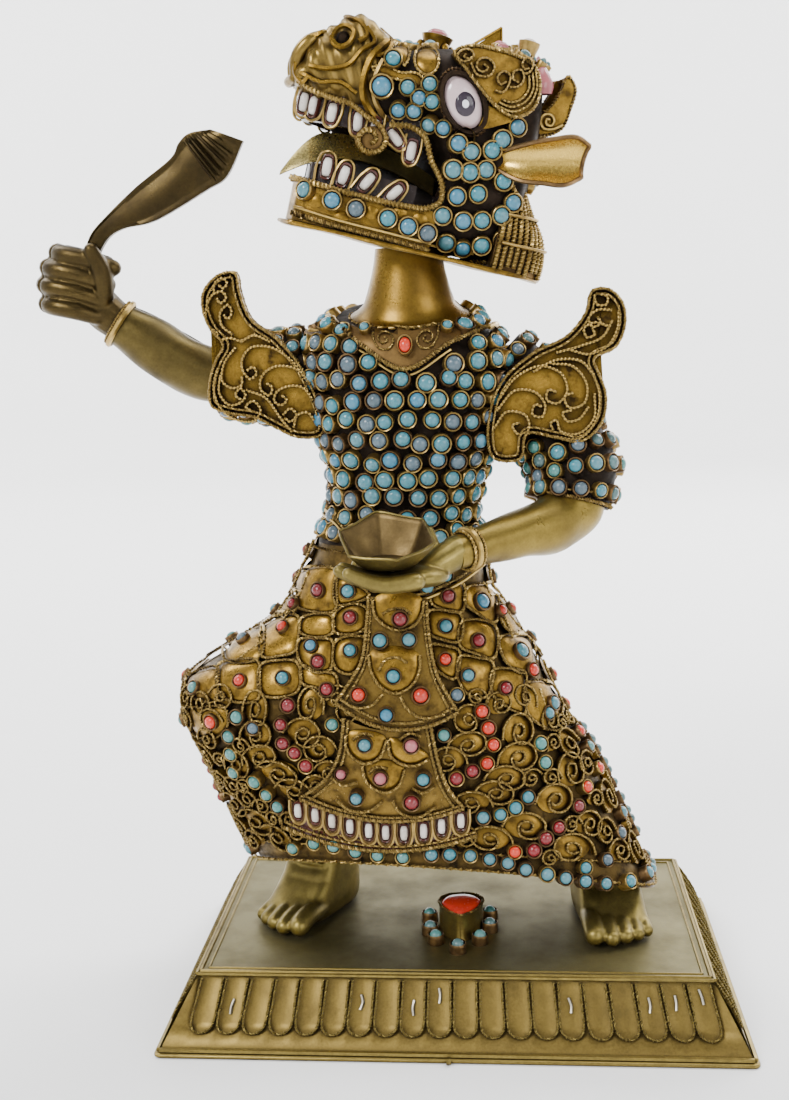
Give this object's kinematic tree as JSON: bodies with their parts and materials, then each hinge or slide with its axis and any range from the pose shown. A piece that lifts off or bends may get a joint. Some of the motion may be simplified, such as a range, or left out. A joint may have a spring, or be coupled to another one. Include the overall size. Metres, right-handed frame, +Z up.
{
  "type": "dragon-headed deity statue",
  "caption": "Standing dragon-headed deity in sheet brass and filigree with set stones, flared knife raised, cup held out, on a petalled plinth.",
  "frame": {"origin": "centre of the plinth's flat underside", "axes": "+Z up through the figure, -Y out of its front, +X to its left arm with the cup"},
  "size_m": [0.2174, 0.1177, 0.3051],
  "materials": {
    "gilt_brass": "polished gilt sheet and wire",
    "aged_brass": "aged brass with brown patina in the hollows",
    "plinth_brass": "olive khaki satin brass",
    "turquoise_work": "close-set polished turquoise in brass bezels",
    "coral": "polished coral in a brass box bezel",
    "bone_white": "polished white inlay",
    "pink_stone": "polished pink stone",
    "eye_enamel": "glossy white enamel with a dark ring"
  },
  "bodies": {
    "root": {"apron_fringe": "bone_white", "apron_lower": "gilt_brass", "apron_upper": "gilt_brass", "back_jewel": "pink_stone", "back_leaf": "gilt_brass", "base_plate": "aged_brass", "bodice": "turquoise_work", "bracelet_far": "gilt_brass", "bracelet_near": "gilt_brass", "brow_far": "gilt_brass", "brow_near": "gilt_brass", "chin_plate": "gilt_brass", "crown_bezel_far": "turquoise_work", "crown_bezel_near": "turquoise_work", "cup": "aged_brass", "ear_far": "gilt_brass", "ear_near": "gilt_brass", "eye_far": "eye_enamel", "eye_near": "eye_enamel", "flame_far": "gilt_brass", "flame_near": "gilt_brass", "foot_far": "aged_brass", "foot_near": "aged_brass", "forearm_far": "aged_brass", "forearm_near": "aged_brass", "forehead_jewel": "pink_stone", "hand_far": "aged_brass", "hand_near": "aged_brass", "horn": "gilt_brass", "knife": "aged_brass", "lower_jaw": "turquoise_work", "lower_teeth_far": "bone_white", "lower_teeth_near": "bone_white", "mane": "gilt_brass", "muzzle": "turquoise_work", "neck": "gilt_brass", "neckline_plate": "gilt_brass", "nose": "gilt_brass", "plinth": "plinth_brass", "plinth_bezel_1": "turquoise_work", "plinth_bezel_2": "turquoise_work", "plinth_bezel_3": "turquoise_work", "plinth_bezel_4": "turquoise_work", "plinth_bezel_5": "turquoise_work", "plinth_bezel_6": "turquoise_work", "plinth_bezel_7": "turquoise_work", "plinth_coral_setting": "coral", "skirt": "aged_brass", "skull": "turquoise_work", "sleeve_far": "turquoise_work", "sleeve_near": "turquoise_work", "tongue": "gilt_brass", "upper_teeth": "bone_white"}
  },
  "joints": []
}
